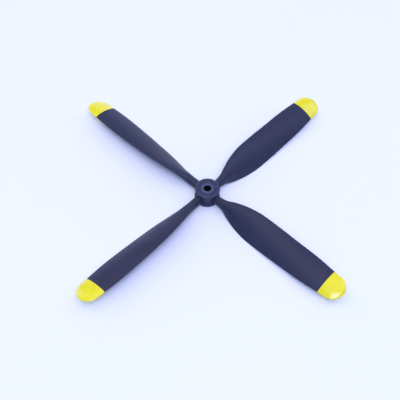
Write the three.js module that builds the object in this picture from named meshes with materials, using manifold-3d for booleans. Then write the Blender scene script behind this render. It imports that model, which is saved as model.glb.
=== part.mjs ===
// A four-blade tractor propeller for a large scale model aircraft, in millimetres.
// The hub's rear face lies on z = 0 and +Z points to the front, along the shaft.
// Blade 1 points along +X and the others follow at quarter turns, counterclockwise from the front.

import * as THREE from 'three';
import { LoftGeometry } from 'three/addons/geometries/LoftGeometry.js';
import { mergeVertices } from 'three/addons/utils/BufferGeometryUtils.js';
import Module from 'manifold-3d';

const wasm = await Module();
wasm.setup();

// ---- driving dimensions ----

const PROPELLER_DIAMETER = 355.6;
const BLADE_COUNT = 4;
const HUB_HEIGHT = 16;
const PITCH_LIMIT = THREE.MathUtils.degToRad(6);
const GAP = 0.3; // clearance between neighbouring pieces

// hub shells
const WAIST_RADIUS = 11.2;
const FRONT_FLANGE_RADIUS = 13;
const FRONT_FLANGE_HEIGHT = 1.6;
const FRONT_BEVEL_WIDTH = 1.6;
const FRONT_BEVEL_HEIGHT = 0.6;
const REAR_FLANGE_RADIUS = 13.2;
const REAR_FLANGE_HEIGHT = 3;
const REAR_CHAMFER = 0.8;
const RIM_CHAMFER = 0.4;
const GROOVE_RADIUS = 9;
const GROOVE_WIDTH = 2;
const GROOVE_DEPTH = 0.7;

// shaft bush
const BORE_RADIUS = 4;
const BUSH_RADIUS = 4.8;
const COLLAR_RADIUS = 6.4;
const COLLAR_HEIGHT = 1.2;
const BORE_CHAMFER = 0.5;

// blade root, measured outwards from the hub's axis
const ROOT_START = 6;
const SHANK_RADIUS = 4.5;
const NECK_RADIUS = 3.5;
const NECK_START = 8.1;
const NECK_END = 9.6;
const LUG_WIDTH = 2;
const LUG_LENGTH = 1.4;
const LUG_REACH = 5.7; // how far the pitch lug's end is from the blade's own axis

// hub screws
const SCREW_CIRCLE_RADIUS = 9.4;
const SCREW_RADIUS = 1;
const SCREW_HEAD_RADIUS = 1.9;
const SCREW_HEAD_HEIGHT = 1.5;
const SCREW_HEAD_RECESS = 0.2;
const SCREW_HEAD_BEVEL_WIDTH = 0.4;
const SCREW_HEAD_BEVEL_HEIGHT = 0.6;
const SCREW_POINT_HEIGHT = 0.5;
const SCREW_TIP = 13;
const CROSS_REACH = 1.1;
const CROSS_WIDTH = 0.5;
const CROSS_DEPTH = 0.8;

// Blade sections from the shank to the tip's shoulder. The angle is in degrees from the propeller's
// disc, camber is the rise of the middle line, and lift is the mid-chord's height above the shank's axis.
const STATIONS = [
  { radius: 13, chord: 9, thickness: 9, angle: 62, camber: 0, lift: 0 },
  { radius: 18, chord: 9.8, thickness: 9.2, angle: 62, camber: 0, lift: 0 },
  { radius: 24, chord: 12.6, thickness: 9.2, angle: 57, camber: 0, lift: 0 },
  { radius: 32, chord: 18.6, thickness: 9, angle: 47, camber: 0.2, lift: 0.3 },
  { radius: 41, chord: 24, thickness: 7.4, angle: 39, camber: 0.5, lift: 0.6 },
  { radius: 52, chord: 28.8, thickness: 5.8, angle: 35.5, camber: 0.9, lift: 0.8 },
  { radius: 65, chord: 31.8, thickness: 4.6, angle: 32, camber: 1.4, lift: 0.9 },
  { radius: 84, chord: 32, thickness: 3.8, angle: 27, camber: 1.9, lift: 1.1 },
  { radius: 108, chord: 31.2, thickness: 3.2, angle: 20.8, camber: 2.1, lift: 1.6 },
  { radius: 136, chord: 30.2, thickness: 2.8, angle: 16, camber: 2, lift: 2.3 },
  { radius: 165.5, chord: 25.6, thickness: 2.2, angle: 12.4, camber: 1.6, lift: 3 },
];
const NOSE_FULLNESS = 0.3; // how much fatter a thin section is at its leading edge
const EDGE_SHARPNESS = 0.45; // 0 gives a flat section elliptical edges, 1 gives it pointed ones
const TIP_LAND = 0.04; // the last section's share of the shoulder section
const SECTION_POINTS = 24;
const STEPS_PER_STATION = 2;
const TIP_STEPS = 5;

const HUB_SEGMENTS = 48;
const BUSH_SEGMENTS = 32;
const SCREW_SEGMENTS = 12;

// ---- worked out from the above ----

const SHANK_AXIS_Z = HUB_HEIGHT / 2;
const SHELL_HEIGHT = SHANK_AXIS_Z - GAP / 2;
const FRONT_SHELL_Z = HUB_HEIGHT - SHELL_HEIGHT;
const BUSH_HOLE_RADIUS = BUSH_RADIUS + GAP;
const SCREW_HEAD_TOP = SCREW_HEAD_RECESS + SCREW_HEAD_HEIGHT;
const QUARTER_TURN = Math.PI / 2;

// ---- materials ----

function plastic(color, roughness) {
  return new THREE.MeshStandardMaterial({ color, roughness, metalness: 0 });
}

function metal(color, roughness) {
  return new THREE.MeshStandardMaterial({ color, roughness, metalness: 0.9 });
}

// ---- solids ----

// The solid bounded by a closed three.js geometry.
function solidOf(geometry) {
  const bare = new THREE.BufferGeometry();
  bare.setAttribute('position', geometry.attributes.position);
  bare.setIndex(geometry.index);
  const merged = mergeVertices(bare, 1e-4);
  const triangles = [];
  const index = merged.index.array;
  for (let i = 0; i < index.length; i += 3) {
    const [a, b, c] = index.slice(i, i + 3);
    if (a !== b && b !== c && c !== a) triangles.push(a, b, c);
  }
  return new wasm.Manifold(new wasm.Mesh({
    numProp: 3,
    vertProperties: merged.attributes.position.array,
    triVerts: Uint32Array.from(triangles),
  }));
}

// The solid's surface as a flat-shaded three.js geometry.
function geometryOf(solid) {
  const { vertProperties, triVerts } = solid.getMesh();
  const geometry = new THREE.BufferGeometry();
  geometry.setAttribute('position', new THREE.BufferAttribute(vertProperties, 3));
  geometry.setIndex(new THREE.BufferAttribute(triVerts, 1));
  const faceted = geometry.toNonIndexed();
  faceted.computeVertexNormals();
  return faceted;
}

// A profile of [radius, height] corners, anticlockwise, turned about Z.
function turnedAboutZ(profile, segments) {
  const points = profile.map(([radius, height]) => new THREE.Vector2(radius, height));
  return new THREE.LatheGeometry(points, segments).rotateX(QUARTER_TURN);
}

// A profile of [radius, distance] corners, anticlockwise, turned about X.
function turnedAboutX(profile, segments) {
  return turnedAboutZ(profile, segments).rotateY(QUARTER_TURN);
}

function closed(profile) {
  return [...profile, profile[0]];
}

function box(from, to) {
  const low = new THREE.Vector3(...from);
  const size = new THREE.Vector3(...to).sub(low);
  const centre = low.clone().addScaledVector(size, 0.5);
  return new THREE.BoxGeometry(...size).translate(...centre);
}

// The same geometry once for each blade, at that blade's place round the hub.
function roundTheHub(makeGeometry, offset = 0) {
  return Array.from({ length: BLADE_COUNT }, (_, k) => makeGeometry().rotateZ(k * QUARTER_TURN + offset));
}

function cut(body, cutters) {
  return cutters.reduce((left, cutter) => left.subtract(solidOf(cutter)), body);
}

// ---- blades ----

// One aerofoil section, anticlockwise from its leading edge as seen from the tip.
function bladeSection({ radius, chord, thickness, angle, camber, lift }) {
  const pitch = THREE.MathUtils.degToRad(angle);
  const flatness = THREE.MathUtils.clamp(1 - thickness / chord, 0, 1);
  const fullness = NOSE_FULLNESS * flatness;
  const sharpness = EDGE_SHARPNESS * Math.min(3 * flatness, 1);
  return Array.from({ length: SECTION_POINTS }, (_, i) => {
    const turn = (2 * Math.PI * i) / SECTION_POINTS;
    const forward = Math.cos(turn);
    const side = Math.sin(turn);
    const across = (chord / 2) * forward;
    const bulge = side * Math.abs(side) ** sharpness * (1 + fullness * forward);
    const above = camber * side ** 2 + (thickness / 2) * bulge;
    return new THREE.Vector3(
      radius,
      across * Math.cos(pitch) - above * Math.sin(pitch),
      lift + across * Math.sin(pitch) + above * Math.cos(pitch),
    );
  });
}

function roundSection(radius, size) {
  return bladeSection({ ...STATIONS[0], radius, chord: 2 * size, thickness: 2 * size });
}

// A knob and a neck, which the hub's ribs hold, then the plain round shank.
function rootSections() {
  return [
    roundSection(ROOT_START, SHANK_RADIUS),
    roundSection(NECK_START, SHANK_RADIUS),
    roundSection(NECK_START, NECK_RADIUS),
    roundSection(NECK_END, NECK_RADIUS),
    roundSection(NECK_END, SHANK_RADIUS),
  ];
}

// Sections on a smooth curve through the stations.
function spanSections() {
  const sizes = STATIONS.map((s) => new THREE.Vector3(s.radius, s.chord, s.thickness));
  const places = STATIONS.map((s) => new THREE.Vector3(s.angle, s.camber, s.lift));
  const sizeCurve = new THREE.CatmullRomCurve3(sizes, false, 'catmullrom');
  const placeCurve = new THREE.CatmullRomCurve3(places, false, 'catmullrom');
  const steps = (STATIONS.length - 1) * STEPS_PER_STATION;
  return Array.from({ length: steps + 1 }, (_, i) => {
    const [radius, chord, thickness] = sizeCurve.getPoint(i / steps);
    const [angle, camber, lift] = placeCurve.getPoint(i / steps);
    return bladeSection({ radius, chord, thickness, angle, camber, lift });
  });
}

// Sections that round off the tip from its shoulder.
function tipSections() {
  const shoulder = STATIONS.at(-1);
  const reach = PROPELLER_DIAMETER / 2 - shoulder.radius;
  return Array.from({ length: TIP_STEPS }, (_, i) => {
    const turn = (QUARTER_TURN * (i + 1)) / TIP_STEPS;
    const share = Math.max(Math.cos(turn), TIP_LAND);
    return bladeSection({
      ...shoulder,
      radius: shoulder.radius + reach * Math.sin(turn),
      chord: shoulder.chord * share,
      thickness: shoulder.thickness * share,
      camber: shoulder.camber * share,
    });
  });
}

// A lug under the knob stops the blade's pitch at the ends of a slot in the rear shell.
function pitchLug() {
  const middle = (ROOT_START + NECK_START) / 2;
  const low = [middle - LUG_LENGTH / 2, -LUG_WIDTH / 2, -LUG_REACH];
  const high = [middle + LUG_LENGTH / 2, LUG_WIDTH / 2, -NECK_RADIUS];
  return box(low, high);
}

// A blade along +X, with its own axis on y = z = 0.
function bladeGeometry() {
  const sections = [...rootSections(), ...spanSections(), ...tipSections()];
  const skin = new LoftGeometry(sections, { capStart: true, capEnd: true });
  return geometryOf(solidOf(skin).add(solidOf(pitchLug())));
}

function blade(number) {
  const mesh = new THREE.Mesh(bladeGeometry(), plastic(0x3f4260, 0.5));
  mesh.name = `blade_${number}`;
  mesh.position.z = SHANK_AXIS_Z;
  mesh.rotation.z = (number - 1) * QUARTER_TURN;
  return mesh;
}

// ---- hub ----

// The room that the two shells leave for a blade's root, along +X at the given height.
function rootCavity(height) {
  const knob = SHANK_RADIUS + GAP;
  const neck = NECK_RADIUS + GAP;
  const beyond = REAR_FLANGE_RADIUS + 1;
  return turnedAboutX([
    [0, ROOT_START - GAP],
    [knob, ROOT_START - GAP],
    [knob, NECK_START + GAP],
    [neck, NECK_START + GAP],
    [neck, NECK_END - GAP],
    [knob, NECK_END - GAP],
    [knob, beyond],
    [0, beyond],
  ], SECTION_POINTS).translate(0, 0, height);
}

// The slot that the pitch lug swings in, wide enough to leave the gap at both limits.
function lugSlot() {
  const middle = (ROOT_START + NECK_START) / 2;
  const halfLength = LUG_LENGTH / 2 + GAP;
  const halfWidth = LUG_REACH * Math.sin(PITCH_LIMIT) + (LUG_WIDTH / 2) * Math.cos(PITCH_LIMIT) + GAP;
  const floor = SHANK_AXIS_Z - LUG_REACH - GAP;
  return box([middle - halfLength, -halfWidth, floor], [middle + halfLength, halfWidth, SHANK_AXIS_Z]);
}

function screwCavity() {
  const head = SCREW_HEAD_RADIUS + GAP;
  const shank = SCREW_RADIUS + GAP;
  return turnedAboutZ([
    [0, -1],
    [head, -1],
    [head, SCREW_HEAD_TOP + GAP],
    [shank, SCREW_HEAD_TOP + GAP],
    [shank, SCREW_TIP + GAP],
    [0, SCREW_TIP + GAP],
  ], SCREW_SEGMENTS).translate(SCREW_CIRCLE_RADIUS, 0, 0);
}

function screwCavities(height) {
  return roundTheHub(() => screwCavity().translate(0, 0, height), QUARTER_TURN / 2);
}

function hubRear() {
  const rim = REAR_FLANGE_RADIUS;
  const shell = solidOf(turnedAboutZ(closed([
    [BUSH_HOLE_RADIUS + RIM_CHAMFER, 0],
    [rim - REAR_CHAMFER, 0],
    [rim, REAR_CHAMFER],
    [rim, REAR_FLANGE_HEIGHT - RIM_CHAMFER],
    [rim - RIM_CHAMFER, REAR_FLANGE_HEIGHT],
    [WAIST_RADIUS, REAR_FLANGE_HEIGHT],
    [WAIST_RADIUS, SHELL_HEIGHT],
    [BUSH_HOLE_RADIUS, SHELL_HEIGHT],
    [BUSH_HOLE_RADIUS, RIM_CHAMFER],
  ]), HUB_SEGMENTS));
  const cutters = [
    ...roundTheHub(() => rootCavity(SHANK_AXIS_Z)),
    ...roundTheHub(lugSlot),
    ...screwCavities(0),
  ];
  const mesh = new THREE.Mesh(geometryOf(cut(shell, cutters)), plastic(0x383b55, 0.5));
  mesh.name = 'hub_rear';
  return mesh;
}

// The front shell stands on its own parting face, which is at z = 0 here.
function hubFront() {
  const rim = FRONT_FLANGE_RADIUS;
  const flange = SHELL_HEIGHT - FRONT_FLANGE_HEIGHT;
  const seatRadius = COLLAR_RADIUS + GAP;
  const seatHeight = SHELL_HEIGHT - COLLAR_HEIGHT - GAP;
  const grooveOuter = GROOVE_RADIUS + GROOVE_WIDTH / 2;
  const grooveInner = GROOVE_RADIUS - GROOVE_WIDTH / 2;
  const shell = solidOf(turnedAboutZ(closed([
    [BUSH_HOLE_RADIUS, 0],
    [WAIST_RADIUS, 0],
    [WAIST_RADIUS, flange],
    [rim, flange],
    [rim, SHELL_HEIGHT - FRONT_BEVEL_HEIGHT],
    [rim - FRONT_BEVEL_WIDTH, SHELL_HEIGHT],
    [grooveOuter, SHELL_HEIGHT],
    [grooveOuter - GROOVE_DEPTH, SHELL_HEIGHT - GROOVE_DEPTH],
    [grooveInner + GROOVE_DEPTH, SHELL_HEIGHT - GROOVE_DEPTH],
    [grooveInner, SHELL_HEIGHT],
    [seatRadius, SHELL_HEIGHT],
    [seatRadius, seatHeight],
    [BUSH_HOLE_RADIUS, seatHeight],
  ]), HUB_SEGMENTS));
  const cutters = [
    ...roundTheHub(() => rootCavity(SHANK_AXIS_Z - FRONT_SHELL_Z)),
    ...screwCavities(-FRONT_SHELL_Z),
  ];
  const mesh = new THREE.Mesh(geometryOf(cut(shell, cutters)), plastic(0x45486a, 0.5));
  mesh.name = 'hub_front';
  mesh.position.z = FRONT_SHELL_Z;
  return mesh;
}

function shaftBush() {
  const collar = HUB_HEIGHT - COLLAR_HEIGHT;
  const profile = closed([
    [BORE_RADIUS + GAP, 0],
    [BUSH_RADIUS, 0],
    [BUSH_RADIUS, collar],
    [COLLAR_RADIUS, collar],
    [COLLAR_RADIUS, HUB_HEIGHT - GAP],
    [COLLAR_RADIUS - GAP, HUB_HEIGHT],
    [BORE_RADIUS + BORE_CHAMFER, HUB_HEIGHT],
    [BORE_RADIUS, HUB_HEIGHT - BORE_CHAMFER],
    [BORE_RADIUS, GAP],
  ]);
  const bush = solidOf(turnedAboutZ(profile, BUSH_SEGMENTS));
  const mesh = new THREE.Mesh(geometryOf(bush), metal(0x4f5675, 0.4));
  mesh.name = 'shaft_bush';
  return mesh;
}

// A pan-head screw standing on its head, with a cross recess underneath.
function screwGeometry() {
  const length = SCREW_TIP - SCREW_HEAD_RECESS;
  const body = solidOf(turnedAboutZ([
    [0, 0],
    [SCREW_HEAD_RADIUS - SCREW_HEAD_BEVEL_WIDTH, 0],
    [SCREW_HEAD_RADIUS, SCREW_HEAD_BEVEL_HEIGHT],
    [SCREW_HEAD_RADIUS, SCREW_HEAD_HEIGHT],
    [SCREW_RADIUS, SCREW_HEAD_HEIGHT],
    [SCREW_RADIUS, length - SCREW_POINT_HEIGHT],
    [SCREW_RADIUS / 2, length],
    [0, length],
  ], SCREW_SEGMENTS));
  const halfWidth = CROSS_WIDTH / 2;
  return geometryOf(cut(body, [
    box([-CROSS_REACH, -halfWidth, -1], [CROSS_REACH, halfWidth, CROSS_DEPTH]),
    box([-halfWidth, -CROSS_REACH, -1], [halfWidth, CROSS_REACH, CROSS_DEPTH]),
  ]));
}

function hubScrew(number) {
  const mesh = new THREE.Mesh(screwGeometry(), metal(0x8d9096, 0.35));
  const azimuth = (number - 0.5) * QUARTER_TURN;
  mesh.name = `hub_screw_${number}`;
  mesh.position.set(
    SCREW_CIRCLE_RADIUS * Math.cos(azimuth),
    SCREW_CIRCLE_RADIUS * Math.sin(azimuth),
    SCREW_HEAD_RECESS,
  );
  return mesh;
}

// ---- the propeller ----

const hub = new THREE.Group();
hub.add(hubRear(), hubFront(), shaftBush());

const propeller = new THREE.Group();
propeller.add(hub);
for (let number = 1; number <= BLADE_COUNT; number += 1) {
  hub.add(hubScrew(number));
  propeller.add(blade(number));
}

export default propeller;
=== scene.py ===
"""Looks for the four-blade model propeller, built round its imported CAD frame. Lengths are in metres."""
import itertools
import math

import bmesh
import bpy
from mathutils import Matrix, Vector


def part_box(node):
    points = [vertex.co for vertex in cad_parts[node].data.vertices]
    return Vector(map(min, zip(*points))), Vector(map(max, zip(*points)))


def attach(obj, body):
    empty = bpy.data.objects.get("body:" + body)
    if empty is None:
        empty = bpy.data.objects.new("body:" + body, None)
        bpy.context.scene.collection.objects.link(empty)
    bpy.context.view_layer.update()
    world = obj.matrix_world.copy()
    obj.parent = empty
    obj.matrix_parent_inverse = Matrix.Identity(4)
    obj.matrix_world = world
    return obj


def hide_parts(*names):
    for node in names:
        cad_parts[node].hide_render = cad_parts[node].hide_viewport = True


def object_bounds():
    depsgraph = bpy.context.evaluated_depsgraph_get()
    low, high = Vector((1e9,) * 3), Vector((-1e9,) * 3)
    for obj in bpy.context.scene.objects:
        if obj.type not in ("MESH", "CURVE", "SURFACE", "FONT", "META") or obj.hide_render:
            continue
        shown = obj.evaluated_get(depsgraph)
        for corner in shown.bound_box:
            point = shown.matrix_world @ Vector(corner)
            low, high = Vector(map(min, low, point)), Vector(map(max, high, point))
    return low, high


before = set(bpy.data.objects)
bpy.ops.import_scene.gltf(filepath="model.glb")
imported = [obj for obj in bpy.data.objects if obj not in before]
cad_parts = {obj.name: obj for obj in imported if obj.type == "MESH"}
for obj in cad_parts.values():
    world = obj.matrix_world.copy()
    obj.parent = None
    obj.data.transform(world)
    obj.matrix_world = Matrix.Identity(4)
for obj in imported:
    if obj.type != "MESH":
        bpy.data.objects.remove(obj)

CAD_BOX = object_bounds()
MM = 0.001

# ---- sizes from the frame ----

BLADE_NUMBERS = (1, 2, 3, 4)
TIP_RADIUS = CAD_BOX[1].x
HUB_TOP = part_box("hub_front")[1].z
SHANK_AXIS_Z = HUB_TOP / 2
FRONT_FLANGE_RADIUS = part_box("hub_front")[1].x
REAR_FLANGE_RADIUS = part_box("hub_rear")[1].x
COLLAR_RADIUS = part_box("shaft_bush")[1].x
SCREW_LOW, SCREW_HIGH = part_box("hub_screw_1")

# ---- sizes shared with the CAD model ----

PAINT_START = 156.8 * MM
ROOT_START = 6 * MM
NECK_START = 8.1 * MM
NECK_END = 9.6 * MM
SHANK_RADIUS = 4.5 * MM
NECK_RADIUS = 3.5 * MM
LUG_REACH = 5.7 * MM
LUG_HALF_WIDTH = 1 * MM
LUG_HALF_LENGTH = 0.7 * MM
WAIST_RADIUS = 11.2 * MM
FRONT_FLANGE_HEIGHT = 1.6 * MM
FRONT_BEVEL_WIDTH = 1.6 * MM
FRONT_BEVEL_HEIGHT = 0.6 * MM
REAR_FLANGE_HEIGHT = 3 * MM
GROOVE_RADIUS = 9 * MM
GROOVE_DEPTH = 0.7 * MM
BORE_RADIUS = 4 * MM
BUSH_RADIUS = 4.8 * MM
COLLAR_HEIGHT = 1.2 * MM
SCREW_RADIUS = 1 * MM
SCREW_HEAD_HEIGHT = 1.5 * MM
THREAD_PITCH = 0.4 * MM
THREAD_DEPTH = 0.2 * MM
POINT_TAPER = 0.45 * MM
PITCH_LIMIT = math.radians(6)

# Finer clearances than the CAD solids keep: the shells close on the shanks and on each other.
FINE_GAP = 0.1 * MM
ROOT_GAP = 0.2 * MM

# radius, chord, thickness, angle from the disc in degrees, camber, lift above the shank's axis; in mm
STATIONS = (
    (13, 9, 9, 62, 0, 0),
    (18, 9.8, 9.2, 62, 0, 0),
    (24, 12.6, 9.2, 57, 0, 0),
    (32, 18.6, 9, 47, 0.2, 0.3),
    (41, 24, 7.4, 39, 0.5, 0.6),
    (52, 28.8, 5.8, 35.5, 0.9, 0.8),
    (65, 31.8, 4.6, 32, 1.4, 0.9),
    (84, 32, 3.8, 27, 1.9, 1.1),
    (108, 31.2, 3.2, 20.8, 2.1, 1.6),
    (136, 30.2, 2.8, 16, 2, 2.3),
    (165.5, 25.6, 2.2, 12.4, 1.6, 3),
)
NOSE_FULLNESS = 0.3
EDGE_SHARPNESS = 0.45

# ---- edges and finish, finer than the CAD model ----

ROOT_EDGE = 0.25 * MM
SHELL_CHAMFER = 0.1 * MM
SHELL_FILLET = 0.4 * MM
REAR_LOW_EDGE = 0.8 * MM
REAR_HIGH_EDGE = 0.5 * MM
REAR_HOLE_CHAMFER = 0.4 * MM
FRONT_LOW_EDGE = 0.3 * MM
FRONT_BEVEL_EASE = 0.25 * MM
GROOVE_HALF_WIDTH = 1 * MM
GROOVE_ROUNDNESS = 0.6
BUSH_EDGE = 0.15 * MM
BORE_CHAMFER_TOP = 0.5 * MM
BORE_CHAMFER_BOTTOM = 0.3 * MM
SCREW_CROWN = 0.5 * MM
SCREW_HEAD_EDGE = 0.1 * MM
CROSS_HALF_WIDTH = 0.24 * MM
CROSS_REACH = 1.05 * MM
CROSS_DEPTH = 0.85 * MM
THREAD_RUNOUT = 0.3 * MM
POINT_HEIGHT = 0.4 * MM
PAINT_COAT = 0.05 * MM

# ---- fineness ----

SECTION_POINTS = 96
STEPS_PER_STATION = 16
TIP_STEPS = 32
HUB_SEGMENTS = 192
ROOT_HOLE_SEGMENTS = 96
# With 64 segments a recess's corner lies 2 microns from an edge of the hub, and two facets are lost.
SCREW_HOLE_SEGMENTS = 60
SCREW_SEGMENTS = 48
BUSH_SEGMENTS = 128
GROOVE_STEPS = 12
THREAD_RINGS_PER_TURN = 8
SEARCH_STEPS = 40
MERGE_DISTANCE = 0.001 * MM
SEAM_DISTANCE = 0.0001 * MM


# ---- meshes ----

def new_object(name, vertices, faces, sharp_angle=35):
    mesh = bpy.data.meshes.new(name)
    mesh.from_pydata(vertices, [], faces)
    mesh.validate()
    obj = bpy.data.objects.new(name, mesh)
    bpy.context.scene.collection.objects.link(obj)
    shade(obj, sharp_angle)
    return obj


def shade(obj, sharp_angle=35):
    """Smooth shading that keeps edges sharper than the angle."""
    obj.data.polygons.foreach_set("use_smooth", [True] * len(obj.data.polygons))
    obj.data.set_sharp_from_angle(angle=math.radians(sharp_angle))


def skinned(name, rings, start=None, end=None, sharp_angle=35, flat_ends=False):
    """A skin over rings of equal length, closed by a fan to start and one to end, or by flat ends."""
    count = len(rings[0])
    vertices = [point for ring in rings for point in ring]
    faces = []
    for row in range(len(rings) - 1):
        for i in range(count):
            a = row * count + i
            b = row * count + (i + 1) % count
            faces.append((a, b, b + count, a + count))
    if flat_ends:
        faces.append(tuple(reversed(range(count))))
        faces.append(tuple(range(len(vertices) - count, len(vertices))))
    if start is not None:
        centre = len(vertices)
        vertices.append(start)
        faces += [(centre, (i + 1) % count, i) for i in range(count)]
    if end is not None:
        centre = len(vertices)
        vertices.append(end)
        last = (len(rings) - 1) * count
        faces += [(centre, last + i, last + (i + 1) % count) for i in range(count)]
    return new_object(name, vertices, faces, sharp_angle)


def turned(name, profile, segments, sharp_angle=35):
    """A solid turned about Z from anticlockwise (radius, height) corners. Ends on the axis are flat."""
    on_axis = profile[0][0] == 0
    corners = profile[1:-1] if on_axis else [*profile, profile[0]]
    rings = []
    for radius, height in corners:
        turns = [2 * math.pi * i / segments for i in range(segments)]
        rings.append([Vector((radius * math.cos(t), radius * math.sin(t), height)) for t in turns])
    if on_axis:
        return skinned(name, rings, sharp_angle=sharp_angle, flat_ends=True)
    obj = skinned(name, rings, sharp_angle=sharp_angle)
    weld(obj)
    shade(obj, sharp_angle)
    return obj


def weld(obj):
    """Joins the first ring to the last, which lies on it."""
    mesh = bmesh.new()
    mesh.from_mesh(obj.data)
    bmesh.ops.remove_doubles(mesh, verts=mesh.verts, dist=SEAM_DISTANCE)
    bmesh.ops.recalc_face_normals(mesh, faces=mesh.faces)
    mesh.to_mesh(obj.data)
    mesh.free()


def box_object(name, low, high):
    corners = [Vector(corner) for corner in itertools.product(*zip(low, high))]
    faces = [(0, 1, 3, 2), (4, 6, 7, 5), (0, 4, 5, 1), (2, 3, 7, 6), (0, 2, 6, 4), (1, 5, 7, 3)]
    return new_object(name, corners, faces)


def move(obj, matrix):
    obj.data.transform(matrix)
    obj.data.update()
    return obj


def quarter_turns(number):
    """The turn about Z from the first blade to that one."""
    return Matrix.Rotation((number - 1) * math.pi / 2, 4, "Z")


def boolean(obj, cutters, operation="DIFFERENCE"):
    """Cuts or joins the cutters and deletes them."""
    for cutter in cutters:
        modifier = obj.modifiers.new("cut", "BOOLEAN")
        modifier.operation = operation
        modifier.solver = "EXACT"
        modifier.object = cutter
        bpy.context.view_layer.objects.active = obj
        bpy.ops.object.modifier_apply(modifier=modifier.name)
        bpy.data.objects.remove(cutter)
    close_up(obj)
    shade(obj)
    return obj


def close_up(obj):
    """Joins corners that a cut leaves next to nothing apart, so that no triangle is a mere line."""
    mesh = bmesh.new()
    mesh.from_mesh(obj.data)
    bmesh.ops.remove_doubles(mesh, verts=mesh.verts, dist=MERGE_DISTANCE)
    bmesh.ops.dissolve_degenerate(mesh, dist=MERGE_DISTANCE, edges=mesh.edges)
    mesh.to_mesh(obj.data)
    mesh.free()


def arc(centre, radius, start, end, steps=6):
    """Corners along a round stretch of a profile, angles in degrees."""
    turns = [math.radians(start + (end - start) * i / steps) for i in range(steps + 1)]
    return [(centre[0] + radius * math.cos(t), centre[1] + radius * math.sin(t)) for t in turns]


def finish_piece(obj, body, node, material):
    """Gives a piece its material and body, and hides the CAD node that it replaces, if any."""
    obj.data.materials.clear()
    obj.data.materials.append(material)
    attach(obj, body)
    if node:
        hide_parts(node)


# ---- blades ----

def catmull_rom(rows, position):
    """A smooth curve through the rows, with its ends run on in a straight line."""
    before = [2 * a - b for a, b in zip(rows[0], rows[1])]
    after = [2 * a - b for a, b in zip(rows[-1], rows[-2])]
    points = [before, *rows, after]
    index = min(int(position), len(rows) - 2)
    t = position - index
    result = []
    for p0, p1, p2, p3 in zip(*points[index:index + 4]):
        slope1 = (p2 - p0) / 2
        slope2 = (p3 - p1) / 2
        a = 2 * p1 - 2 * p2 + slope1 + slope2
        b = -3 * p1 + 3 * p2 - 2 * slope1 - slope2
        result.append(((a * t + b) * t + slope1) * t + p1)
    return result


def section(row, grow=0.0):
    """One aerofoil section across X, anticlockwise from its leading edge; grow is added all round."""
    radius, chord, thickness, angle, camber, lift = row
    pitch = math.radians(angle)
    flatness = min(max(1 - thickness / max(chord, 1e-6), 0), 1)
    fullness = NOSE_FULLNESS * flatness
    sharpness = EDGE_SHARPNESS * min(3 * flatness, 1)
    ring = []
    for i in range(SECTION_POINTS):
        turn = 2 * math.pi * i / SECTION_POINTS
        forward, side = math.cos(turn), math.sin(turn)
        across = (chord / 2 + grow) * forward
        bulge = side * abs(side) ** sharpness * (1 + fullness * forward)
        above = camber * side ** 2 + (thickness / 2 + grow) * bulge
        y = across * math.cos(pitch) - above * math.sin(pitch)
        z = lift + across * math.sin(pitch) + above * math.cos(pitch)
        ring.append(Vector((radius, y, z)) * MM)
    return ring


def round_section(radius, size):
    """A round section of that size, both in metres."""
    shank = list(STATIONS[0])
    shank[0] = radius / MM
    shank[1] = shank[2] = 2 * size / MM
    return section(shank)


def root_rings():
    """Knob, neck and shank, with small rounded edges."""
    high = SHANK_RADIUS - ROOT_EDGE
    outline = [
        *arc((ROOT_START + ROOT_EDGE, high), ROOT_EDGE, 180, 90),
        *arc((NECK_START - ROOT_EDGE, high), ROOT_EDGE, 90, 0),
        (NECK_START, NECK_RADIUS),
        (NECK_END, NECK_RADIUS),
        *arc((NECK_END + ROOT_EDGE, high), ROOT_EDGE, 180, 90),
    ]
    return [round_section(radius, size) for radius, size in outline]


def span_rows():
    """Rows along the blade, from the shank to the last station."""
    steps = (len(STATIONS) - 1) * STEPS_PER_STATION
    return [catmull_rom(STATIONS, i / STEPS_PER_STATION) for i in range(steps + 1)]


def tip_rows():
    """Rows that round off the tip from the last station's shoulder."""
    radius, chord, thickness, angle, camber, lift = STATIONS[-1]
    reach = TIP_RADIUS / MM - radius
    rows = []
    for i in range(1, TIP_STEPS):
        turn = math.pi / 2 * i / TIP_STEPS
        share = math.cos(turn)
        out = radius + reach * math.sin(turn)
        rows.append((out, chord * share, thickness * share, angle, camber * share, lift))
    return rows


def tip_point(grow=0.0):
    """The point that closes the tip."""
    return Vector((TIP_RADIUS / MM + grow, 0, STATIONS[-1][5])) * MM


def blade_mesh(number):
    """A whole blade: root, shank, aerofoil and tip in one skin, with the lug joined on."""
    rings = root_rings() + [section(row) for row in span_rows() + tip_rows()]
    start = Vector((ROOT_START, 0, 0))
    obj = skinned(f"blade_{number}_moulding", rings, start, tip_point())
    middle = (ROOT_START + NECK_START) / 2
    low = (middle - LUG_HALF_LENGTH, -LUG_HALF_WIDTH, -LUG_REACH)
    high = (middle + LUG_HALF_LENGTH, LUG_HALF_WIDTH, -NECK_RADIUS)
    boolean(obj, [box_object("lug", low, high)], "UNION")
    return move(obj, blade_place(number))


def blade_place(number):
    """From a blade along X on its own axis to its place in the hub."""
    return quarter_turns(number) @ Matrix.Translation((0, 0, SHANK_AXIS_Z))


def tip_paint_mesh(number):
    """The coat of paint on a tip: a thin closed skin, half sunk in the plastic."""
    coat = PAINT_COAT / MM
    start = PAINT_START / MM
    clear = 0.2
    first = catmull_rom_at_radius(start)
    rows = [first] + [row for row in span_rows() if row[0] > start + clear] + tip_rows()
    outer = [section(row, coat) for row in rows]
    inner = [section(row, -coat) for row in rows]
    rings = inner[::-1] + outer
    obj = skinned(f"tip_paint_{number}", rings, tip_point(-coat), tip_point(coat))
    return move(obj, blade_place(number))


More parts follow.
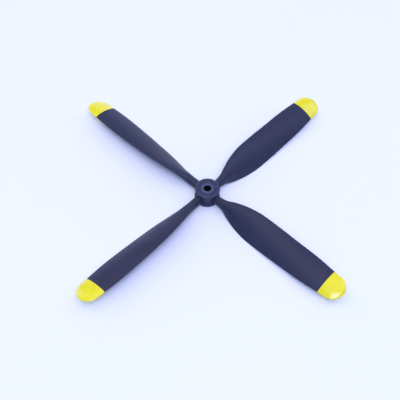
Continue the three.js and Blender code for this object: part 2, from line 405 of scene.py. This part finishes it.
def catmull_rom_at_radius(radius):
    """The row of the blade at that radius, found by halving."""
    low, high = 0.0, len(STATIONS) - 1.0
    for _ in range(SEARCH_STEPS):
        middle = (low + high) / 2
        if catmull_rom(STATIONS, middle)[0] < radius:
            low = middle
        else:
            high = middle
    return catmull_rom(STATIONS, low)


# ---- hub ----

def root_cutter(number):
    """The room in the shells for a blade's root."""
    knob = SHANK_RADIUS + ROOT_GAP
    neck = NECK_RADIUS + ROOT_GAP
    seat = SHANK_RADIUS + FINE_GAP
    beyond = REAR_FLANGE_RADIUS + 1 * MM
    profile = [
        (0, ROOT_START - ROOT_GAP),
        (knob, ROOT_START - ROOT_GAP),
        (knob, NECK_START + ROOT_GAP),
        (neck, NECK_START + ROOT_GAP),
        (neck, NECK_END - ROOT_GAP),
        (seat, NECK_END - ROOT_GAP),
        (seat, beyond),
        (0, beyond),
    ]
    obj = turned("root_cutter", profile, ROOT_HOLE_SEGMENTS)
    along_x = Matrix.Rotation(math.pi / 2, 4, "Y")
    return move(obj, blade_place(number) @ along_x)


def slot_cutter(number):
    """The slot in the rear shell for the lug under a blade's root, at both limits of its pitch."""
    middle = (ROOT_START + NECK_START) / 2
    half_length = LUG_HALF_LENGTH + ROOT_GAP
    half_width = LUG_REACH * math.sin(PITCH_LIMIT) + LUG_HALF_WIDTH * math.cos(PITCH_LIMIT) + ROOT_GAP
    depth = LUG_REACH + ROOT_GAP
    low = (middle - half_length, -half_width, -depth)
    high = (middle + half_length, half_width, 0)
    return move(box_object("slot_cutter", low, high), blade_place(number))


def screw_centre(number):
    """The foot of that screw's axis, from its CAD node."""
    low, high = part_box(f"hub_screw_{number}")
    return Vector(((low.x + high.x) / 2, (low.y + high.y) / 2, 0))


def screw_cutter(number):
    """A stepped hole: the recess for the head, then the clearance hole for the shank."""
    head = (SCREW_HIGH.x - SCREW_LOW.x) / 2 + ROOT_GAP
    hole = SCREW_RADIUS + FINE_GAP
    shoulder = SCREW_LOW.z + SCREW_HEAD_HEIGHT + 0.02 * MM
    tip = SCREW_HIGH.z + 0.3 * MM
    profile = [(0, -MM), (head, -MM), (head, shoulder), (hole, shoulder), (hole, tip), (0, tip)]
    obj = turned("screw_cutter", profile, SCREW_HOLE_SEGMENTS)
    return move(obj, Matrix.Translation(screw_centre(number)))


def hub_rear_mesh():
    """The rear half of the hub: a rounded flange with a waist above it."""
    rim = REAR_FLANGE_RADIUS
    hole = BUSH_RADIUS + FINE_GAP
    low = REAR_LOW_EDGE
    high = REAR_HIGH_EDGE
    fillet = SHELL_FILLET
    top = SHANK_AXIS_Z - FINE_GAP / 2
    profile = [
        (hole + REAR_HOLE_CHAMFER, 0),
        *arc((rim - low, low), low, -90, 0),
        *arc((rim - high, REAR_FLANGE_HEIGHT - high), high, 0, 90),
        *arc((WAIST_RADIUS + fillet, REAR_FLANGE_HEIGHT + fillet), fillet, 270, 180),
        (WAIST_RADIUS, top - SHELL_CHAMFER),
        (WAIST_RADIUS - SHELL_CHAMFER, top),
        (hole, top),
        (hole, REAR_HOLE_CHAMFER),
    ]
    cutters = [root_cutter(n) for n in BLADE_NUMBERS]
    cutters += [slot_cutter(n) for n in BLADE_NUMBERS]
    cutters += [screw_cutter(n) for n in BLADE_NUMBERS]
    return boolean(turned("hub_rear_shell", profile, HUB_SEGMENTS), cutters)


def hub_front_mesh():
    """The front half of the hub: a waist under a flange with a sloping rim and a ring groove."""
    rim = FRONT_FLANGE_RADIUS
    edge = FRONT_LOW_EDGE
    hole = BUSH_RADIUS + FINE_GAP
    seat = COLLAR_RADIUS + FINE_GAP
    fillet = SHELL_FILLET
    bottom = SHANK_AXIS_Z + FINE_GAP / 2
    flange = HUB_TOP - FRONT_FLANGE_HEIGHT
    ledge = HUB_TOP - COLLAR_HEIGHT - FINE_GAP
    profile = [
        (hole, bottom),
        (WAIST_RADIUS - SHELL_CHAMFER, bottom),
        (WAIST_RADIUS, bottom + SHELL_CHAMFER),
        *arc((WAIST_RADIUS + fillet, flange - fillet), fillet, 180, 90),
        *arc((rim - edge, flange + edge), edge, -90, 0),
        *front_bevel(rim),
        *groove_corners(),
        (seat + SHELL_CHAMFER, HUB_TOP),
        (seat, HUB_TOP - SHELL_CHAMFER),
        (seat, ledge),
        (hole, ledge),
    ]
    cutters = [root_cutter(n) for n in BLADE_NUMBERS]
    cutters += [screw_cutter(n) for n in BLADE_NUMBERS]
    return boolean(turned("hub_front_shell", profile, HUB_SEGMENTS), cutters)


def front_bevel(rim):
    """The sloping rim of the front face with eased edges, from outside inwards."""
    slope = math.atan2(FRONT_BEVEL_HEIGHT, FRONT_BEVEL_WIDTH)
    ease = FRONT_BEVEL_EASE
    low = HUB_TOP - FRONT_BEVEL_HEIGHT
    high = rim - FRONT_BEVEL_WIDTH
    along = (math.cos(slope) * ease, math.sin(slope) * ease)
    return [
        (rim, low - ease),
        (rim - 0.3 * along[0], low - 0.1 * ease),
        (rim - along[0], low + along[1]),
        (high + along[0], HUB_TOP - along[1]),
        (high, HUB_TOP - 0.25 * along[1]),
        (high - ease, HUB_TOP),
    ]


def groove_corners():
    """The shallow ring in the front face, from its outer edge inwards."""
    corners = []
    for i in range(GROOVE_STEPS + 1):
        share = i / GROOVE_STEPS
        drop = GROOVE_DEPTH * (0.5 - 0.5 * math.cos(2 * math.pi * share)) ** GROOVE_ROUNDNESS
        corners.append((GROOVE_RADIUS + GROOVE_HALF_WIDTH * (1 - 2 * share), HUB_TOP - drop))
    return corners


def bush_mesh():
    """The bush that lines the bore, with a collar that shows as a ring in the front face."""
    edge = BUSH_EDGE
    collar = HUB_TOP - COLLAR_HEIGHT
    profile = [
        (BORE_RADIUS + BORE_CHAMFER_BOTTOM, 0),
        (BUSH_RADIUS - edge, 0),
        (BUSH_RADIUS, edge),
        (BUSH_RADIUS, collar),
        (COLLAR_RADIUS, collar),
        *arc((COLLAR_RADIUS - edge, HUB_TOP - edge), edge, 0, 90, 4),
        (BORE_RADIUS + BORE_CHAMFER_TOP, HUB_TOP),
        (BORE_RADIUS, HUB_TOP - BORE_CHAMFER_TOP),
        (BORE_RADIUS, BORE_CHAMFER_BOTTOM),
    ]
    return turned("shaft_bush_turned", profile, BUSH_SEGMENTS, 25)


# ---- screws ----

def screw_mesh(number):
    """A pan-head machine screw with a cross recess and a real helical thread, standing on its head."""
    head = (SCREW_HIGH.x - SCREW_LOW.x) / 2
    low = SCREW_LOW.z
    under_head = low + SCREW_HEAD_HEIGHT
    rings = []
    for radius, height in arc((head - SCREW_CROWN, low + SCREW_CROWN), SCREW_CROWN, -75, 0):
        rings.append(thread_ring(radius, height))
    rings.append(thread_ring(head, under_head - SCREW_HEAD_EDGE))
    rings.append(thread_ring(head - SCREW_HEAD_EDGE, under_head))
    rings += thread_rings(under_head, SCREW_HIGH.z)
    start = Vector((0, 0, low))
    end = Vector((0, 0, SCREW_HIGH.z))
    obj = skinned(f"hub_screw_{number}_threaded", rings, start, end)
    boolean(obj, cross_cutters(low))
    return move(obj, Matrix.Translation(screw_centre(number)))


def thread_ring(radius, height, thread_depth=0.0):
    """One ring of the screw, sunk between the crests of a helical thread of that depth."""
    ring = []
    for i in range(SCREW_SEGMENTS):
        share = i / SCREW_SEGMENTS
        phase = (height / THREAD_PITCH - share) % 1
        r = radius - thread_depth * abs(2 * phase - 1)
        turn = 2 * math.pi * share
        ring.append(Vector((r * math.cos(turn), r * math.sin(turn), height)))
    return ring


def thread_rings(start, end):
    """The shank: plain under the head, then a thread that deepens over one turn, then a taper."""
    count = int((end - start) / THREAD_PITCH * THREAD_RINGS_PER_TURN)
    rings = [thread_ring(SCREW_RADIUS, start)]
    for k in range(1, count + 1):
        height = start + (end - start) * k / count
        run_in = min(max((height - start - THREAD_RUNOUT) / THREAD_PITCH, 0), 1)
        taper = max(height - (end - POINT_HEIGHT), 0) / POINT_HEIGHT
        radius = SCREW_RADIUS - POINT_TAPER * taper
        rings.append(thread_ring(radius, height, THREAD_DEPTH * run_in))
    return rings


def cross_cutters(low):
    """Two crossed bars that cut the recess in the screw's head from below."""
    half = CROSS_HALF_WIDTH
    reach = CROSS_REACH
    top = low + CROSS_DEPTH
    return [
        box_object("cross", (-reach, -half, low - MM), (reach, half, top)),
        box_object("cross", (-half, -reach, low - MM), (half, reach, top)),
    ]


# ---- materials ----

# Sockets of a colour Mix node, where several share one name.
MIX_FACTOR = 0
MIX_DARK = 6
MIX_LIGHT = 7
MIX_RESULT = 2

# Painted shade down the bore: below the hub's top, the bush's colour goes from its own to near black
# between these depths.
BORE_PAINTED_SHADE_FULL_BELOW = 1.4 * MM
BORE_PAINTED_SHADE_NONE_ABOVE = 0.4 * MM
BORE_PAINTED_SHADE_COLOUR = (0.004, 0.004, 0.005, 1)

class Nodes:
    """A new node material and short ways to add to it."""

    def __init__(self, name):
        self.material = bpy.data.materials.new(name)
        self.material.use_nodes = True
        self.tree = self.material.node_tree
        self.shader = self.tree.nodes["Principled BSDF"]
        self.position = self.add("ShaderNodeTexCoord").outputs["Object"]

    def add(self, kind, **settings):
        node = self.tree.nodes.new(kind)
        for key, value in settings.items():
            setattr(node, key, value)
        return node

    def link(self, output, target):
        self.tree.links.new(output, target)

    def set(self, **values):
        for name, value in values.items():
            self.shader.inputs[name.replace("_", " ")].default_value = value

    def stretched(self, scale):
        mapping = self.add("ShaderNodeMapping")
        mapping.inputs["Scale"].default_value = scale
        self.link(self.position, mapping.inputs["Vector"])
        return mapping.outputs["Vector"]

    def noise(self, scale, detail=3, roughness=0.55, vector=None):
        node = self.add("ShaderNodeTexNoise")
        node.inputs["Scale"].default_value = scale
        node.inputs["Detail"].default_value = detail
        node.inputs["Roughness"].default_value = roughness
        self.link(vector or self.position, node.inputs["Vector"])
        return node.outputs["Fac"]

    def remap(self, value, low, high, start=0.3, end=0.7):
        node = self.add("ShaderNodeMapRange")
        node.inputs["From Min"].default_value = start
        node.inputs["From Max"].default_value = end
        node.inputs["To Min"].default_value = low
        node.inputs["To Max"].default_value = high
        self.link(value, node.inputs["Value"])
        return node.outputs["Result"]

    def colours(self, value, dark, light):
        """From dark to light as the value goes from 0.3 to 0.7."""
        node = self.add("ShaderNodeValToRGB")
        for element, place, colour in zip(node.color_ramp.elements, (0.3, 0.7), (dark, light)):
            element.position = place
            element.color = (*colour, 1)
        self.link(value, node.inputs["Fac"])
        return node.outputs["Color"]

    def mottle(self, value, dark, light):
        self.link(self.colours(value, dark, light), self.shader.inputs["Base Color"])

    def roughness(self, value, low, high):
        self.link(self.remap(value, low, high), self.shader.inputs["Roughness"])

    def bump(self, *layers):
        """Layers of (height, strength, distance), the coarsest first."""
        normal = None
        for height, strength, distance in layers:
            node = self.add("ShaderNodeBump")
            node.inputs["Strength"].default_value = strength
            node.inputs["Distance"].default_value = distance
            self.link(height, node.inputs["Height"])
            if normal:
                self.link(normal, node.inputs["Normal"])
            normal = node.outputs["Normal"]
        self.link(normal, self.shader.inputs["Normal"])


def plastic(name, dark, light, roughness=(0.42, 0.52)):
    """Moulded blue-black plastic: a faint mottle, a fine spark-eroded grain and a soft waviness."""
    n = Nodes(name)
    n.mottle(n.noise(45, 4), dark, light)
    n.roughness(n.noise(160, 4), *roughness)
    n.set(IOR=1.5, Specular_IOR_Level=0.3)
    n.bump(
        (n.noise(30, 2), 0.25, 0.0004),
        (n.noise(2600, 2, 0.6), 0.12, 0.00005),
    )
    return n.material


def paint(name):
    """Gloss yellow paint with a slight orange peel."""
    n = Nodes(name)
    n.mottle(n.noise(70, 3), (0.76, 0.70, 0.007), (0.81, 0.75, 0.014))
    n.roughness(n.noise(240, 3), 0.2, 0.28)
    n.set(IOR=1.5, Coat_Weight=0.35, Coat_Roughness=0.06)
    n.bump((n.noise(520, 2, 0.4), 0.12, 0.0001))
    return n.material


def anodised(name):
    """Blue-black anodised aluminium with fine turning lines round its axis, and painted shade that
    darkens its colour to near black down the bore.
    """
    n = Nodes(name)
    lines = n.noise(900, 2, 0.5, n.stretched((0.05, 0.05, 6)))
    rim = n.colours(n.noise(220, 3), (0.070, 0.088, 0.17), (0.082, 0.102, 0.195))
    # Painted shade: the colour is mixed towards near black deeper down the bore.
    height = n.add("ShaderNodeSeparateXYZ")
    n.link(n.position, height.inputs["Vector"])
    mix = n.add("ShaderNodeMix", data_type="RGBA")
    unshaded_share = n.remap(height.outputs["Z"], 0, 1, HUB_TOP - BORE_PAINTED_SHADE_FULL_BELOW, HUB_TOP - BORE_PAINTED_SHADE_NONE_ABOVE)
    n.link(unshaded_share, mix.inputs[MIX_FACTOR])
    mix.inputs[MIX_DARK].default_value = BORE_PAINTED_SHADE_COLOUR
    n.link(rim, mix.inputs[MIX_LIGHT])
    n.link(mix.outputs[MIX_RESULT], n.shader.inputs["Base Color"])
    n.roughness(lines, 0.3, 0.42)
    n.set(Metallic=0.2, Specular_IOR_Level=0.3)
    n.bump((lines, 0.1, 0.00004))
    return n.material


def steel(name):
    """Bright steel with a faint mottle."""
    n = Nodes(name)
    n.mottle(n.noise(600, 3), (0.33, 0.33, 0.34), (0.46, 0.46, 0.47))
    n.roughness(n.noise(1500, 2), 0.28, 0.4)
    n.set(Metallic=1.0)
    n.bump((n.noise(3000, 2), 0.1, 0.00003))
    return n.material


# ---- stage ----

CAMERA_AZIMUTH = math.radians(-48.03)
CAMERA_ELEVATION = math.radians(54.04)
CAMERA_ROLL = math.radians(1.745)
CAMERA_DISTANCE = 0.8374
CAMERA_ASIDE = -0.00786
CAMERA_RAISED = -0.01239
CAMERA_LENS = 72.66
SENSOR_WIDTH = 36
CLIP_START = 0.01
FLOOR_HALF_SIZE = 2.6
FLOOR_Z = -0.1 * MM
HORIZON_END = 0.04
ZENITH_START = 0.22
HORIZON_COLOUR = (0.80, 0.87, 1.0, 1)
ZENITH_COLOUR = (0.25, 0.26, 0.35, 1)


def placed(point, right, up, back):
    """The matrix of a camera or a light at the point, looking away from back."""
    return Matrix.Translation(point) @ Matrix((right, up, back)).transposed().to_4x4()


def view_axes(azimuth, elevation):
    """Right, up and back for a camera at that azimuth and elevation, level."""
    across = math.cos(elevation)
    back = Vector((math.sin(azimuth) * across, -math.cos(azimuth) * across, math.sin(elevation)))
    right = Vector((0, 0, 1)).cross(back).normalized()
    return right, back.cross(right), back


def add_camera():
    level_right, level_up, back = view_axes(CAMERA_AZIMUTH, CAMERA_ELEVATION)
    c, s = math.cos(CAMERA_ROLL), math.sin(CAMERA_ROLL)
    right = c * level_right + s * level_up
    up = -s * level_right + c * level_up
    place = Vector((0, 0, HUB_TOP)) + back * CAMERA_DISTANCE + right * CAMERA_ASIDE + up * CAMERA_RAISED
    data = bpy.data.cameras.new("camera")
    data.lens = CAMERA_LENS
    data.sensor_width = SENSOR_WIDTH
    data.clip_start = CLIP_START
    camera = bpy.data.objects.new("camera", data)
    camera.matrix_world = placed(place, right, up, back)
    bpy.context.scene.collection.objects.link(camera)
    bpy.context.scene.camera = camera


def add_light(name, azimuth, elevation, distance, size, watts, colour):
    """A square soft light aimed at the hub, placed by angles like the camera's."""
    right, up, back = view_axes(math.radians(azimuth), math.radians(elevation))
    data = bpy.data.lights.new(name, "AREA")
    data.size = size
    data.energy = watts
    data.color = colour
    light = bpy.data.objects.new(name, data)
    light.matrix_world = placed(back * distance, right, up, back)
    bpy.context.scene.collection.objects.link(light)


def add_floor():
    size = FLOOR_HALF_SIZE
    corners = [Vector((x * size, y * size, FLOOR_Z)) for x, y in ((-1, -1), (1, -1), (1, 1), (-1, 1))]
    floor = new_object("floor", corners, [(0, 1, 2, 3)])
    n = Nodes("floor")
    n.mottle(n.noise(3, 2), (0.80, 0.84, 0.90), (0.81, 0.85, 0.91))
    n.set(Roughness=0.9, Specular_IOR_Level=0.1)
    floor.data.materials.append(n.material)


def add_world():
    """A pale horizon that darkens overhead, where the soft boxes do the lighting."""
    world = bpy.data.worlds.new("studio")
    world.use_nodes = True
    tree = world.node_tree
    direction = tree.nodes.new("ShaderNodeTexCoord")
    split = tree.nodes.new("ShaderNodeSeparateXYZ")
    tree.links.new(direction.outputs["Generated"], split.inputs["Vector"])
    ramp = tree.nodes.new("ShaderNodeValToRGB")
    low, high = ramp.color_ramp.elements
    low.position = HORIZON_END
    low.color = HORIZON_COLOUR
    high.position = ZENITH_START
    high.color = ZENITH_COLOUR
    tree.links.new(split.outputs["Z"], ramp.inputs["Fac"])
    tree.links.new(ramp.outputs["Color"], tree.nodes["Background"].inputs["Color"])
    bpy.context.scene.world = world


# name, azimuth, elevation, distance, size, watts, colour: a broad soft box overhead, a low bright
# backdrop behind, cool fill from the front and both sides
LIGHTS = (
    ("overhead", 0, 90, 3, 3, 36, (1.0, 0.80, 0.62)),
    ("backdrop", 132, 10, 2.5, 2.5, 22, (0.60, 0.66, 1.0)),
    ("left_low", 192, 15, 3, 1.7, 18, (0.44, 0.46, 1.0)),
    ("left_high", 192, 45, 3, 1.7, 12, (1.0, 0.92, 0.5)),
    ("right_high", 72, 45, 3, 1.7, 20, (0.55, 0.58, 1.0)),
    ("right_low", 72, 15, 3, 1.7, 8, (0.70, 0.75, 1.0)),
    ("front", -48, 60, 3, 1.6, 68, (0.47, 0.58, 1.0)),
)


def add_stage():
    add_floor()
    add_world()
    add_camera()
    for light in LIGHTS:
        add_light(*light)
    bpy.context.scene.view_settings.view_transform = "Standard"


# ---- the propeller ----

def build():
    blade_plastic = plastic("blade_plastic", (0.018, 0.022, 0.052), (0.022, 0.027, 0.063))
    hub_plastic = plastic("hub_plastic", (0.030, 0.035, 0.078), (0.037, 0.043, 0.094))
    yellow = paint("tip_paint")
    for number in BLADE_NUMBERS:
        name = f"blade_{number}"
        finish_piece(blade_mesh(number), name, name, blade_plastic)
        finish_piece(tip_paint_mesh(number), name, None, yellow)
    finish_piece(hub_rear_mesh(), "hub", "hub_rear", hub_plastic)
    finish_piece(hub_front_mesh(), "hub", "hub_front", hub_plastic)
    finish_piece(bush_mesh(), "hub", "shaft_bush", anodised("bush_metal"))
    screw_steel = steel("screw_steel")
    for number in BLADE_NUMBERS:
        finish_piece(screw_mesh(number), "hub", f"hub_screw_{number}", screw_steel)


add_stage()
build()
